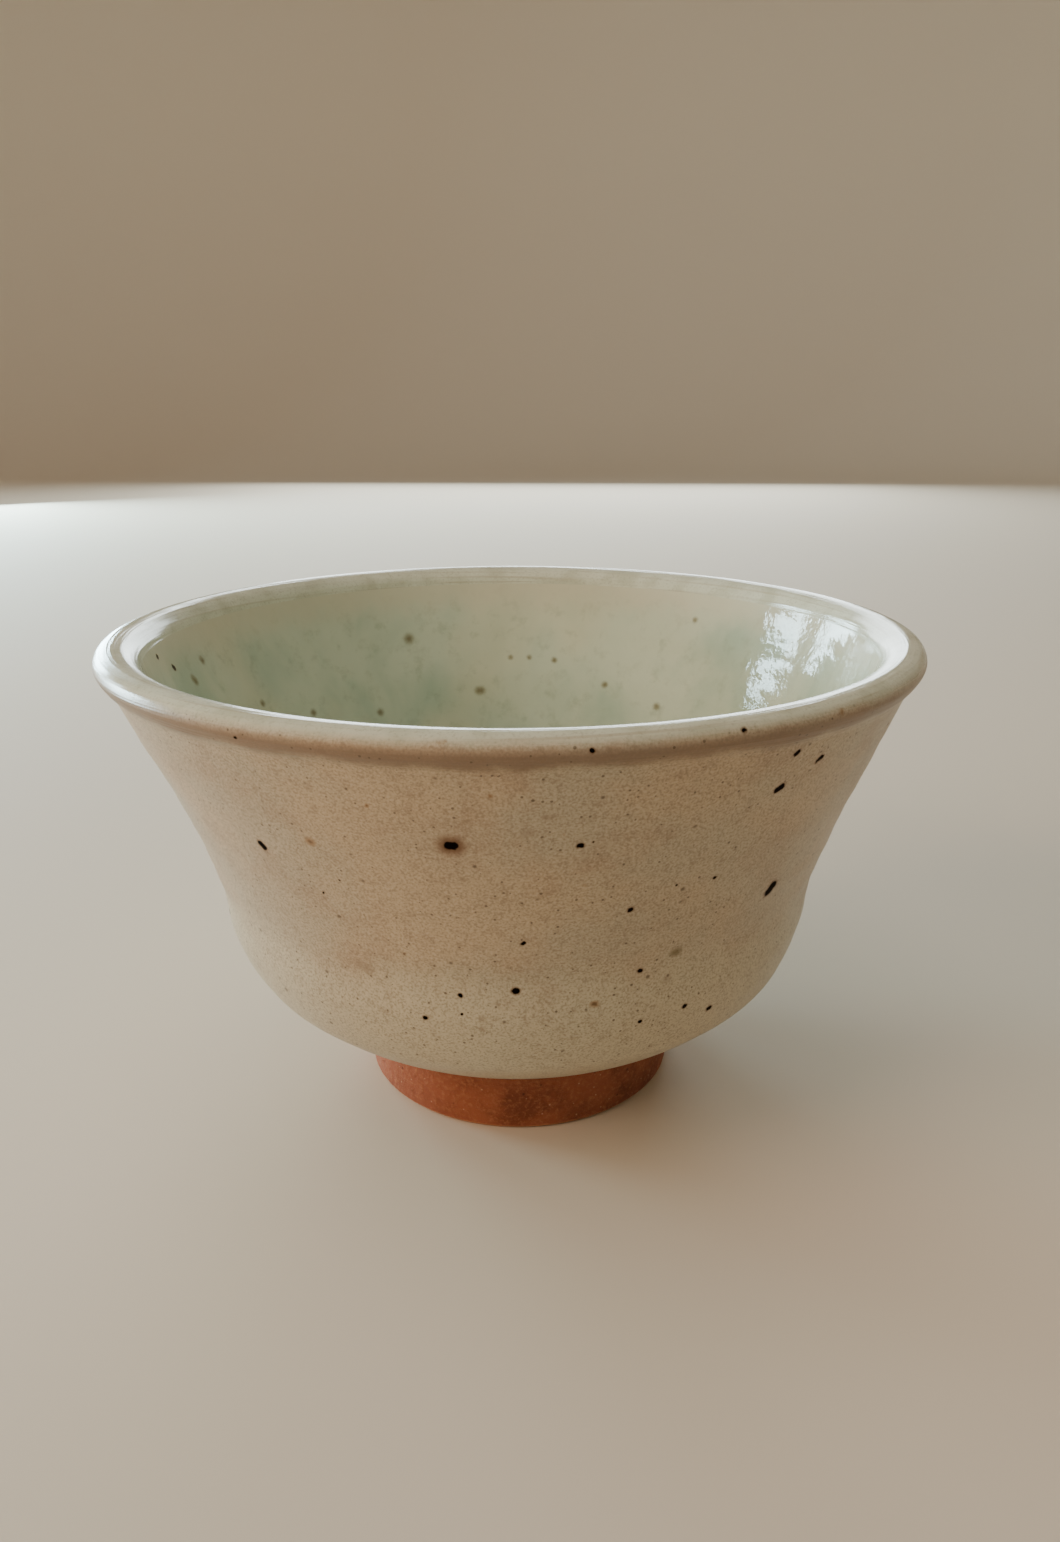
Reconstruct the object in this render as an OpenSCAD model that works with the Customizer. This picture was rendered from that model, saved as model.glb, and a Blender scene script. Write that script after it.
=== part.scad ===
// Matcha bowl: a thrown stoneware tea bowl with a luted foot ring and three coats of glaze.
// Everything is turned about +Z. The origin is on the table, under the middle of the bowl.
// Every outline point is [radius, height].

/* [Bowl] */
// Diameter over the bead of the lip
rim_d = 125; // [118:1:132]
// Height from the table to the top of the lip
bowl_h = 76; // [72:0.5:83]
// Diameter of the belly, where the round lower wall stands upright
belly_d = 94.9; // [90:0.2:100]
// Height of the belly
belly_z = 31.5; // [29:0.5:33]
// Diameter of the bend above the belly, where the wall starts to flare
bend_d = 96.5; // [90:0.2:100]
// Height of the bend
bend_z = 37.5; // [36:0.5:41]
// Height of the glazed floor of the well
well_z = 15; // [14.5:0.5:18]
// Thickness of the glazed wall at the bend
bend_wall = 5.6; // [4:0.2:7]

/* [Lip] */
// Width of the rolled lip, from its outer side to its inner side
lip_w = 6.5; // [5:0.1:7.5]
// Height of the bead, from its crease to its top
bead_h = 4.8; // [4:0.1:5.5]
// How far the bead stands out over its crease
bead_out = 1.8; // [1.2:0.1:2.4]

/* [Foot] */
// Diameter of the foot ring just above its worn edge
foot_d = 51.8; // [49:0.2:55]
// Height of the foot ring
foot_h = 9.5; // [8:0.5:10]
// Width of the foot ring where it stands
foot_w = 6.4; // [5:0.2:8]
// How much the foot ring spreads towards its top, on the radius
foot_flare = 0.3; // [0:0.1:1]
// Width of the worn edges under the foot
foot_edge = 0.5; // [0.3:0.1:1.2]
// Depth of the turned recess inside the foot, above the ring's top
recess_rise = 0.7; // [0:0.1:1]
// Drop of the small point left in the middle of the recess
point_drop = 1.3; // [0:0.1:2]

/* [Glaze and slip] */
// Thickness of the glaze outside
outer_coat = 0.6; // [0.4:0.1:1]
// Thickness of the glaze over the lip
lip_coat = 0.5; // [0.4:0.1:1]
// Thickness of the glaze inside
inner_coat = 0.6; // [0.4:0.1:1]
// Bare clay left between the foot and the edge of the outer glaze
bare_band = 1; // [0.5:0.1:2]
// Thickness of the slip that joins the foot ring to the body
slip_t = 0.5; // [0.3:0.1:0.8]
// Depth of the scored rings that the slip keys into
score_depth = 0.3; // [0.2:0.05:0.5]
// Number of scored rings in each face of the joint
score_count = 3; // [2:1:4]

/* [Hidden] */
$fn = 144;
CURVE_STEPS = 6; // short straight pieces between two points of an outline

rim_r = rim_d / 2;
foot_r = foot_d / 2;
seat_z = foot_h + slip_t;                          // underside of the body, where the slip meets it
seat_out = foot_r + foot_flare;                    // outer edge of the joint
seat_in = foot_r - foot_w - foot_flare;            // inner edge of the joint

// The stations that the outlines run through
stop = [seat_out + bare_band, seat_z + 0.5 * bare_band];
belly = [belly_d / 2, belly_z];
bend = [bend_d / 2, bend_z];
crease = [rim_r - bead_out, bowl_h - bead_h];
mouth = [rim_r - lip_w, bowl_h - 0.63 * bead_h];
inner_bend = [bend.x - bend_wall, bend_z];
well = [0, well_z];

// The point that lies the given shares of the way from a to b, across and up
function between(a, b, share) = [a.x + (b.x - a.x) * share.x, a.y + (b.y - a.y) * share.y];

// A stretch of outline from a to b through the given shares, without its last point
function stretch(a, b, shares) = concat([a], [for (share = shares) between(a, b, share)]);

// One point of the smooth curve through b and c, whose neighbours are a and d
function curve_point(a, b, c, d, t) =
    (2 * b + (c - a) * t + (2 * a - 5 * b + 4 * c - d) * t ^ 2 + (3 * b - a - 3 * c + d) * t ^ 3) / 2;

// The smooth curve through every point of a line, with its ends carried straight on
function smooth(line) =
    let (
        last = len(line) - 1,
        padded = concat([2 * line[0] - line[1]], line, [2 * line[last] - line[last - 1]])
    )
    concat(
        [for (i = [0:last - 1], k = [0:CURVE_STEPS - 1])
            curve_point(padded[i], padded[i + 1], padded[i + 2], padded[i + 3], k / CURVE_STEPS)],
        [line[last]]
    );

function reversed(line) = [for (i = [len(line) - 1:-1:0]) line[i]];
function part_of(line, first, last) = [for (i = [first:last]) line[i]];

// Outside, from the edge of the glaze above the foot, over the belly and bend, to the crease under the bead
outer_points = concat(
    stretch(stop, belly, [[0.304, 0.18], [0.517, 0.32], [0.679, 0.45], [0.822, 0.59], [0.922, 0.76]]),
    [belly],
    stretch(bend, crease, [[0.095, 0.14], [0.245, 0.31], [0.454, 0.52], [0.697, 0.73], [0.883, 0.90]])
);

// Over the lip: the round bead outside and the longer roll inside
lip_points = [
    crease,
    [rim_r - 0.42 * bead_out, crease.y + 0.24 * bead_h],
    [rim_r, bowl_h - 0.44 * bead_h],
    [rim_r - 0.11 * lip_w, bowl_h - 0.12 * bead_h],
    [rim_r - 0.39 * lip_w, bowl_h],
    [rim_r - 0.7 * lip_w, bowl_h - 0.09 * bead_h],
    [rim_r - 0.9 * lip_w, bowl_h - 0.33 * bead_h]
];

// Inside, from the mouth down the wall and across the well to its middle
inner_points = concat(
    stretch(mouth, inner_bend, [[0.12, 0.13], [0.28, 0.28], [0.51, 0.49], [0.71, 0.69], [0.88, 0.86]]),
    stretch(inner_bend, well, [[0.02, 0.27], [0.09, 0.52], [0.22, 0.73], [0.41, 0.89], [0.62, 0.96], [0.81, 0.99]]),
    [well]
);

// The whole glazed surface, and the places along it where one coat meets the next
skin = smooth(concat(outer_points, lip_points, inner_points));
LIP_START = (len(outer_points) - 1) * CURVE_STEPS; // the lip's coat hangs a little below the crease
LIP_END = (len(outer_points) + len(lip_points)) * CURVE_STEPS;
SKIN_END = len(skin) - 1;

// Unit direction into the wall at point i of the glazed surface
function into_wall(i) =
    let (along = skin[min(i + 1, SKIN_END)] - skin[max(i - 1, 0)])
    [-along.y, along.x] / norm(along);

// Thickness of glaze at point i, which eases from one coat's thickness to the next at the lip
function coat(i) =
    i < LIP_START ? outer_coat
    : i == LIP_START ? (outer_coat + lip_coat) / 2
    : i < LIP_END ? lip_coat
    : i == LIP_END ? (lip_coat + inner_coat) / 2
    : inner_coat;

// The clay under the glaze. Its last point stays on the axis of the bowl.
clay_line = [for (i = [0:SKIN_END])
    i == SKIN_END ? [0, well_z - inner_coat] : skin[i] + coat(i) * into_wall(i)];

// One face of the luted joint, from its inner to its outer edge: V-shaped scored rings cut to the given depth
function scored(z, depth) =
    let (pitch = (seat_out - seat_in) / (2 * score_count + 1))
    concat(
        [[seat_in, z]],
        [for (i = [0:score_count - 1], k = [0:2])
            [seat_in + pitch * (2 * i + 1 + k / 2), z + (k == 1 ? depth : 0)]],
        [[seat_out, z]]
    );

body_seat = scored(seat_z, score_depth);
ring_seat = scored(foot_h, -score_depth);

// A solid turned about the axis of the bowl
module turned(outline) rotate_extrude() polygon(outline);

// A coat of glaze that lies on the clay between two places along the glazed surface
module coat_of_glaze(first, last)
    turned(concat(part_of(skin, first, last), reversed(part_of(clay_line, first, last))));

// The thrown body: wall, floor, and the turned recess inside the foot
module clay_body() color([0.60, 0.41, 0.31])
    turned(concat(
        [[0, seat_z + recess_rise - point_drop], [0.2 * seat_in, seat_z + recess_rise - 0.3 * point_drop],
         [0.42 * seat_in, seat_z + recess_rise], [0.85 * seat_in, seat_z + recess_rise]],
        body_seat,
        clay_line
    ));

// The bare foot ring, with both edges under it worn off
module foot_ring() color([0.64, 0.42, 0.31])
    turned(concat(
        [[foot_r - foot_w, foot_edge], [foot_r - foot_w + foot_edge, 0],
         [foot_r - foot_edge, 0], [foot_r, foot_edge]],
        reversed(ring_seat)
    ));

// The layer of slip that keys the ring to the body
module luting_slip() color([0.68, 0.48, 0.36])
    turned(concat(ring_seat, reversed(body_seat)));

module outer_glaze() color([0.72, 0.65, 0.54]) coat_of_glaze(0, LIP_START);

module lip_glaze() color([0.60, 0.61, 0.50]) coat_of_glaze(LIP_START, LIP_END);

module inner_glaze() color([0.68, 0.69, 0.58]) coat_of_glaze(LIP_END, SKIN_END);

clay_body();
foot_ring();
luting_slip();
inner_glaze();
outer_glaze();
lip_glaze();
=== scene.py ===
"""Matcha bowl: the looks of a thrown and glazed stoneware tea bowl.

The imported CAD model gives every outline. Each visible piece takes its outline from its CAD node, is turned
again as a fine even mesh, is moved a little by the thrower's hand, and gets its glaze or bare clay.
"""

import logging
import math
from dataclasses import dataclass
from enum import Enum

import bpy
import numpy as np
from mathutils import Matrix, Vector


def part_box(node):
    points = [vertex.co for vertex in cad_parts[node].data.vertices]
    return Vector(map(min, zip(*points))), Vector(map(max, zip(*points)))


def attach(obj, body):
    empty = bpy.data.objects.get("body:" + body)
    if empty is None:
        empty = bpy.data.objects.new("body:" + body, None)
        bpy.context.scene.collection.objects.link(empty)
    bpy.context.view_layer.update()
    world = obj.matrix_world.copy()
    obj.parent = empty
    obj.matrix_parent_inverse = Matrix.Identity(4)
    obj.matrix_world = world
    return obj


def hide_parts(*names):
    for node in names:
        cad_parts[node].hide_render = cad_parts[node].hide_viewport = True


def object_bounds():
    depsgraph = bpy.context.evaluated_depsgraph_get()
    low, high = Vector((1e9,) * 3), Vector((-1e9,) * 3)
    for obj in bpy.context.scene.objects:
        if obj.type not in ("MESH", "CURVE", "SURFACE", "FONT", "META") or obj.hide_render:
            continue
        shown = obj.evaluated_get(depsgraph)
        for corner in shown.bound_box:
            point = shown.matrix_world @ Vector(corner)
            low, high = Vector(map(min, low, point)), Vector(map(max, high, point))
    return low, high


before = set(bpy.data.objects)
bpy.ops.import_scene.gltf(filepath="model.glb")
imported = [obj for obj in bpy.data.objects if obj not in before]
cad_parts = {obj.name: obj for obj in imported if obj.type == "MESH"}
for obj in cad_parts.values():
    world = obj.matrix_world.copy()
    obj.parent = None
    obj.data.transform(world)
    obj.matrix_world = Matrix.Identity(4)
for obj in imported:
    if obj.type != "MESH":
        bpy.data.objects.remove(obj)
cad_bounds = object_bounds()

MM = 0.001
TURN = 2 * math.pi
SAME_PLACE = 1e-6  # points nearer than this, in metres, are one point
ON_SEAM = 1e-7  # how far a point of a seam may lie from its plane, in metres
SOFT_EDGE = math.radians(50)  # a piece's edges that turn less than this are shaded smooth
log = logging.getLogger("matcha_bowl")


# ---------------------------------------------------------------- small helpers

# Short names for the nodes and the node settings that the finishes use again and again
NOISE = "ShaderNodeTexNoise"
CELLS = "ShaderNodeTexVoronoi"
RANGE = "ShaderNodeMapRange"
MATH = "ShaderNodeMath"
VECTOR = "ShaderNodeVectorMath"
MIX = "ShaderNodeMix"
FADE = {"interpolation_type": "SMOOTHSTEP"}
TIMES = {"operation": "MULTIPLY"}
TIMES_PLUS = {"operation": "MULTIPLY_ADD"}
MINUS = {"operation": "SUBTRACT"}
LOWER = {"operation": "MINIMUM"}
HIGHER = {"operation": "MAXIMUM"}


def linear(code: str) -> tuple[float, float, float, float]:
    """Turns an sRGB hex colour into the linear colour that shaders take.

    Args:
        code: The colour as six hex digits after a hash.

    Returns:
        Linear red, green and blue, and an alpha of one.
    """
    parts = [int(code[i : i + 2], 16) / 255 for i in (1, 3, 5)]
    red, green, blue = (p / 12.92 if p <= 0.04045 else ((p + 0.055) / 1.055) ** 2.4 for p in parts)
    return red, green, blue, 1.0


def put(
    tree: bpy.types.NodeTree,
    kind: str,
    settings: dict[str, object] | None = None,
    links: dict[str | int, object] | None = None,
) -> bpy.types.Node:
    """Adds a node with its settings and links.

    Args:
        tree: The node tree that gets the node.
        kind: The node's type name.
        settings: Properties of the node itself.
        links: For each input, by name or index, a node, a socket, or a plain value.

    Returns:
        The new node.
    """
    node = tree.nodes.new(kind)
    for key, value in (settings or {}).items():
        setattr(node, key, value)
    for key, value in (links or {}).items():
        if isinstance(key, int):
            target = node.inputs[key]
        else:
            target = next(s for s in node.inputs if s.name == key and s.enabled)
        if isinstance(value, bpy.types.Node):
            value = next(s for s in value.outputs if s.enabled)
        if isinstance(value, bpy.types.NodeSocket):
            tree.links.new(value, target)
        else:
            target.default_value = value
    return node


def choose_only(piece: bpy.types.Object) -> None:
    """Selects one object and makes it active, with everything else deselected.

    Args:
        piece: The object to select.
    """
    bpy.ops.object.select_all(action="DESELECT")
    piece.select_set(True)
    bpy.context.view_layer.objects.active = piece


def choose_in_edit_mode(mode: str, action: str) -> None:
    """Enters edit mode on the active object, picks by vertex or edge, and selects all or nothing.

    Args:
        mode: VERT to pick by vertex, or EDGE to pick by edge.
        action: SELECT for all, or DESELECT for nothing.
    """
    bpy.ops.object.mode_set(mode="EDIT")
    bpy.ops.mesh.select_mode(type=mode)
    bpy.ops.mesh.select_all(action=action)


def corners(mesh: bpy.types.Mesh) -> np.ndarray:
    """Reads the places of a mesh's vertices.

    Args:
        mesh: The mesh to read.

    Returns:
        One row of x, y and z for each vertex.
    """
    flat = np.empty(len(mesh.vertices) * 3)
    mesh.vertices.foreach_get("co", flat)
    return flat.reshape(-1, 3)


def move_corners(mesh: bpy.types.Mesh, places: np.ndarray) -> None:
    """Writes new places for a mesh's vertices."""
    mesh.vertices.foreach_set("co", places.ravel())
    mesh.update()


def ease(values: np.ndarray, start: float, end: float) -> np.ndarray:
    """Goes smoothly from 0 at start to 1 at end, and stays there."""
    share = np.clip((values - start) / (end - start), 0, 1)
    return share * share * (3 - 2 * share)


# ---------------------------------------------------------------- the thrower's hand


@dataclass(frozen=True)
class Dent:
    """A shallow press of a finger in the soft wall."""

    azimuth: float
    height: float
    depth: float
    spread: float


@dataclass(frozen=True)
class Hand:
    """How far the bowl strays from a perfect turned shape.

    Every shift depends on place alone, so pieces that touch move together. Lengths are in metres. A zone, a
    start, an end or an edge is the stretch over which one of the shifts comes in or dies away. The ridges
    lie further apart in the well, by its stretch. The shape of a dent makes it wider than it is high.
    """

    bowl_height: float
    foot_lean: float = 0.45 * MM
    wall_lean: float = 0.55 * MM
    oval: float = 0.06 * MM
    lip_wave: float = 0.10 * MM
    ridge_depth: float = 0.035 * MM
    ridge_pitch: float = 4.6 * MM
    swell_depth: float = 0.06 * MM
    swell_pitch: float = 11.5 * MM
    belly_zone: tuple[float, float] = (8 * MM, 34 * MM)
    rim_zone: tuple[float, float] = (50 * MM, 74 * MM)
    ridge_start: tuple[float, float] = (14 * MM, 24 * MM)
    ridge_end: tuple[float, float] = (64 * MM, 70 * MM)
    well_edge: tuple[float, float] = (22 * MM, 34 * MM)
    well_floor: tuple[float, float] = (12 * MM, 14 * MM)
    dent_zone: tuple[float, float] = (20 * MM, 36 * MM)
    upper_start: float = 30 * MM
    well_stretch: float = 1.3
    dent_shape: tuple[float, float] = (0.6, 1.6)
    dents: tuple[Dent, ...] = (
        Dent(-42, 44 * MM, 0.22 * MM, 5 * MM),
        Dent(-120, 43 * MM, 0.12 * MM, 12 * MM),
        Dent(-75, 43 * MM, 0.15 * MM, 10 * MM),
        Dent(70, 52 * MM, 0.30 * MM, 12 * MM),
        Dent(150, 34 * MM, 0.25 * MM, 9 * MM),
    )

    def drift(self, heights: np.ndarray) -> np.ndarray:
        """Gives how far the middle of the bowl strays to +X at some heights.

        Args:
            heights: The heights above the table.

        Returns:
            How far it strays at each height.
        """
        foot = 1 - ease(heights, *self.belly_zone)
        wall = 1 - ease(heights, *self.rim_zone)
        return self.foot_lean * foot + self.wall_lean * wall

    def shift(self, points: np.ndarray) -> np.ndarray:
        """Moves points from the perfect shape to the thrown one.

        Args:
            points: One row of x, y and z for each point.

        Returns:
            The moved points.
        """
        x, y, z = points.T
        radius = np.hypot(x, y)
        angle = np.arctan2(y, x)
        wall = ease(z, *self.ridge_start) * (1 - ease(z, *self.ridge_end))
        floor = (1 - ease(radius, *self.well_edge)) * ease(z, *self.well_floor)
        upper = ease(z, self.upper_start, self.bowl_height)

        # A number that is added to or taken from an angle only sets where that wave starts
        out = wall * self.ridge_depth * np.sin(TURN * z / self.ridge_pitch - angle)
        out += wall * self.swell_depth * np.sin(TURN * z / self.swell_pitch - angle + 1.1)
        out += upper * self.oval * np.cos(2 * angle - 0.9)
        wide, high = self.dent_shape
        for dent in self.dents:
            toward = math.radians(dent.azimuth)
            across = radius * np.arctan2(np.sin(angle - toward), np.cos(angle - toward))
            away = np.hypot(across * wide, (z - dent.height) * high) / dent.spread
            out -= ease(radius, *self.dent_zone) * dent.depth * np.exp(-away * away)

        well_pitch = self.well_stretch * self.ridge_pitch
        up = floor * self.ridge_depth * np.sin(TURN * radius / well_pitch - angle)
        up += upper * self.lip_wave * (0.6 * np.sin(angle + 0.7) + 0.4 * np.sin(3 * angle + 2.1))

        share = np.where(radius > SAME_PLACE, (radius + out) / np.maximum(radius, SAME_PLACE), 1)
        return np.column_stack([x * share + self.drift(z), y * share, z + up])

    def shape(self, piece: bpy.types.Object) -> None:
        """Moves every point of a piece's mesh."""
        move_corners(piece.data, self.shift(corners(piece.data)))


# ---------------------------------------------------------------- turned pieces


@dataclass
class TurnedPiece:
    """A piece of the bowl that is turned about its axis.

    Its outline is the seam of its CAD node, where the node's surface starts and ends its turn, at +X.
    """

    node: str
    slot: str
    steps: int
    longest_edge: float

    def build(self, hand: Hand, material: bpy.types.Material) -> bpy.types.Object:
        """Makes the piece and puts it in the place of its CAD node.

        Args:
            hand: The thrower's hand.
            material: The finish that the piece wears.

        Returns:
            The finished piece.
        """
        piece = self.take_outline()
        self.split_long_edges(piece)
        self.turn(piece)
        self.work_edges(piece)
        hand.shape(piece)
        self.smooth(piece, material)
        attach(piece, "root")
        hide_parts(self.node)
        log.info("%s: %d faces", piece.name, len(piece.data.polygons))
        return piece

    def take_outline(self) -> bpy.types.Object:
        """Copies the CAD node, merges it, and keeps only the edges of its seam.

        Returns:
            The piece, which is only an outline so far.
        """
        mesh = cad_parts[self.node].data.copy()
        piece = bpy.data.objects.new(f"{self.node}_piece", mesh)
        bpy.context.scene.collection.objects.link(piece)
        choose_only(piece)
        mesh.materials.clear()
        choose_in_edit_mode("VERT", "SELECT")
        bpy.ops.mesh.remove_doubles(threshold=SAME_PLACE)
        bpy.ops.mesh.select_all(action="DESELECT")
        bpy.ops.object.mode_set(mode="OBJECT")
        x, y, _ = corners(mesh).T
        mesh.vertices.foreach_set("select", (np.abs(y) > ON_SEAM) | (x < -ON_SEAM))
        bpy.ops.object.mode_set(mode="EDIT")
        bpy.ops.mesh.delete(type="VERT")
        bpy.ops.object.mode_set(mode="OBJECT")
        return piece

    def split_long_edges(self, piece: bpy.types.Object) -> None:
        """Halves the outline's edges until none is longer than the longest allowed.

        Args:
            piece: The outline.
        """
        mesh = piece.data
        found = True
        while found:
            choose_in_edit_mode("EDGE", "DESELECT")
            bpy.ops.object.mode_set(mode="OBJECT")
            found = False
            for edge in mesh.edges:
                first, second = (mesh.vertices[i].co for i in edge.vertices)
                edge.select = (first - second).length > self.longest_edge
                found = found or edge.select
            if found:
                bpy.ops.object.mode_set(mode="EDIT")
                bpy.ops.mesh.subdivide(number_cuts=1)
                bpy.ops.object.mode_set(mode="OBJECT")

    def turn(self, piece: bpy.types.Object) -> None:
        """Turns the outline once round the bowl's axis and closes the surface.

        Args:
            piece: The outline, which becomes the turned piece.
        """
        lathe = piece.modifiers.new("lathe", "SCREW")
        lathe.axis = "Z"
        lathe.angle = TURN
        lathe.steps = lathe.render_steps = self.steps
        lathe.use_merge_vertices = True
        lathe.merge_threshold = SAME_PLACE
        choose_only(piece)
        bpy.ops.object.modifier_apply(modifier=lathe.name)
        choose_in_edit_mode("VERT", "SELECT")
        bpy.ops.mesh.remove_doubles(threshold=SAME_PLACE)
        bpy.ops.mesh.normals_make_consistent(inside=False)
        bpy.ops.object.mode_set(mode="OBJECT")

    def work_edges(self, piece: bpy.types.Object) -> None:
        """Works the piece's own edges. A plain piece has none to work."""

    def smooth(self, piece: bpy.types.Object, material: bpy.types.Material) -> None:
        """Shades the piece smooth over its soft edges and gives it its finish.

        Args:
            piece: The turned piece.
            material: The finish that it wears.
        """
        choose_only(piece)
        bpy.ops.object.shade_smooth_by_angle(angle=SOFT_EDGE)
        piece.data.materials.append(material)


@dataclass
class GlazeCoat(TurnedPiece):
    """The coat of glaze on the outer wall, whose lower edge is rounded and wanders a little."""

    edge_height: float = 0.9 * MM
    edge_width: float = 0.7 * MM
    rounding: float = 0.18 * MM
    wander: float = 0.45 * MM
    wander_reach: float = 4.8 * MM
    wall_slope: tuple[float, float] = (0.85, 0.53)

    def work_edges(self, piece: bpy.types.Object) -> None:
        """Rounds the two corners of the coat's lower edge, and lets the edge run up and down the wall.

        Args:
            piece: The turned coat.
        """
        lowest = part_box(self.node)[0].z
        mesh = piece.data
        choose_in_edit_mode("EDGE", "DESELECT")
        bpy.ops.object.mode_set(mode="OBJECT")
        places = corners(mesh)
        radii = np.hypot(places[:, 0], places[:, 1])
        low = places[:, 2] < lowest + self.edge_height
        narrowest = radii[low].min()
        low &= radii < narrowest + self.edge_width
        pairs = np.empty(len(mesh.edges) * 2, dtype=int)
        mesh.edges.foreach_get("vertices", pairs)
        first, second = pairs.reshape(-1, 2).T
        level = np.abs(places[first, 2] - places[second, 2]) < ON_SEAM
        mesh.edges.foreach_set("select", level & low[first] & low[second])
        bpy.ops.object.mode_set(mode="EDIT")
        bpy.ops.mesh.bevel(offset=self.rounding, segments=3, affect="EDGES")
        bpy.ops.object.mode_set(mode="OBJECT")

        x, y, z = corners(mesh).T
        radii = np.hypot(x, y)
        angle = np.arctan2(y, x)
        near = np.exp(-(np.hypot(radii - narrowest, z - lowest) ** 2) / self.wander_reach**2)
        run = near * self.wander * (0.5 * np.sin(2 * angle + 0.4) + 0.3 * np.sin(5 * angle) - 0.4)
        outward, upward = self.wall_slope
        grown = (radii + outward * run) / radii
        move_corners(mesh, np.column_stack([x * grown, y * grown, z + upward * run]))


@dataclass
class BareRing(TurnedPiece):
    """The foot ring, whose clay is sandy and whose worn edge is uneven."""

    grit: float = 0.10 * MM
    grit_size: float = 1.3 * MM
    flat_foot: float = 0.6 * MM

    def work_edges(self, piece: bpy.types.Object) -> None:
        """Roughens the cut clay with a fine displacement that keeps the ring standing flat.

        Args:
            piece: The turned ring.
        """
        texture = bpy.data.textures.new("clay_grit", type="CLOUDS")
        texture.noise_scale = self.grit_size
        texture.noise_depth = 3
        free = piece.vertex_groups.new(name="free_clay")
        for vertex in piece.data.vertices:
            free.add([vertex.index], min(1.0, vertex.co.z / self.flat_foot), "REPLACE")
        grain = piece.modifiers.new("grit", "DISPLACE")
        grain.texture = texture
        grain.texture_coords = "LOCAL"
        grain.strength = self.grit
        grain.mid_level = 0.5
        grain.vertex_group = free.name
        choose_only(piece)
        bpy.ops.object.modifier_apply(modifier=grain.name)
        piece.vertex_groups.clear()


# ---------------------------------------------------------------- specks


class SpeckKind(Enum):
    """What an iron grain left in the glaze."""

    IRON = "black grain with a thin brown edge"
    BLOOM = "brown bloom without a black middle"
    OLIVE = "soft olive bloom"
    FAINT = "faint grey-brown shadow of a deep grain"
    BURST = "black middle that melts into a wide brown halo"


@dataclass(frozen=True)
class Speck:
    """One grain: where it lies on the wall, in degrees and millimetres, and how large it is."""

    azimuth: float
    height: float
    size: float
    kind: SpeckKind
    length: float = 1.0
    slant: float = 0.0


IRON, BLOOM, OLIVE, FAINT, BURST = SpeckKind

OUTER_SPECKS = (
    Speck(-97.3, 60.9, 2.4, BURST, 1.2),
    Speck(-116.2, 59.0, 1.5, BLOOM),
    Speck(-125.8, 56.2, 1.0, IRON, 1.6, -60),
    Speck(-82.1, 60.8, 0.75, IRON, 1.2),
    Speck(-84.2, 62.5, 0.5, BLOOM),
    Speck(-80.6, 61.3, 0.35, IRON),
    Speck(-80.9, 54.5, 0.55, BLOOM),
    Speck(-73.9, 49.7, 0.85, IRON),
    Speck(-88.7, 45.4, 0.5, IRON, 1.7, 35),
    Speck(-106.5, 42.4, 0.45, IRON),
    Speck(-64.5, 40.8, 1.5, OLIVE, 1.2),
    Speck(-70.2, 38.9, 0.7, IRON),
    Speck(-89.8, 37.5, 0.95, IRON, 1.1),
    Speck(-98.3, 36.5, 0.6, IRON),
    Speck(-77.4, 34.7, 1.1, BLOOM, 1.2),
    Speck(-104.2, 32.4, 0.6, IRON),
    Speck(-98.2, 33.6, 0.35, IRON),
    Speck(-69.2, 30.5, 0.55, IRON),
    Speck(-72.0, 30.4, 0.6, FAINT),
    Speck(-60.9, 31.2, 0.75, IRON),
    Speck(-54.8, 28.9, 0.85, IRON, 1.3, 30),
    Speck(-67.8, 52.7, 0.35, IRON),
    Speck(-95.1, 31.4, 0.8, FAINT),
    Speck(-106.5, 65.9, 0.65, BLOOM),
    Speck(-92.4, 68.2, 0.55, BLOOM),
    Speck(-95.3, 64.5, 0.8, FAINT, 1.6),
    Speck(-127.4, 63.9, 0.7, FAINT),
    Speck(-125.7, 40.6, 0.4, IRON),
    Speck(-117.5, 50.6, 0.4, IRON),
    Speck(-113.8, 53.3, 0.4, IRON),
    Speck(-114.3, 38.8, 1.6, FAINT, 1.5, -25),
    Speck(-111.2, 30.6, 0.6, FAINT),
    Speck(-56.5, 65.1, 0.95, IRON, 1.9, 32),
    Speck(-56.1, 69.9, 0.75, IRON, 1.6, 40),
    Speck(-51.0, 67.9, 0.85, IRON, 1.9, 36),
    Speck(-56.5, 60.4, 0.4, IRON, 1.5, 50),
    Speck(-61.6, 52.5, 0.5, IRON),
    Speck(-47.4, 46.8, 1.6, IRON, 1.6, 62),
    Speck(-65.3, 36.5, 1.3, FAINT),
    Speck(-69.0, 70.2, 0.9, FAINT),
    Speck(-86.3, 65.1, 0.7, FAINT, 1.9),
    Speck(-88.3, 62.9, 1.3, FAINT, 1.4, 25),
    Speck(-31.1, 67.7, 0.5, IRON),
    Speck(-84.6, 39.2, 0.4, FAINT),
    Speck(-84.3, 38.2, 0.4, FAINT),
    Speck(-84.9, 37.2, 0.4, FAINT),
    Speck(-86.1, 36.5, 0.4, FAINT),
)

LIP_SPECKS = (
    Speck(-65.7, 75.0, 0.7, IRON),
    Speck(-82.2, 74.2, 0.6, IRON),
    Speck(-51.5, 74.8, 0.9, BLOOM),
    Speck(-97.0, 75.4, 0.8, BLOOM, 1.6),
    Speck(-120.0, 73.4, 0.5, IRON),
    Speck(-28.0, 74.0, 0.5, BLOOM),
)

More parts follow.
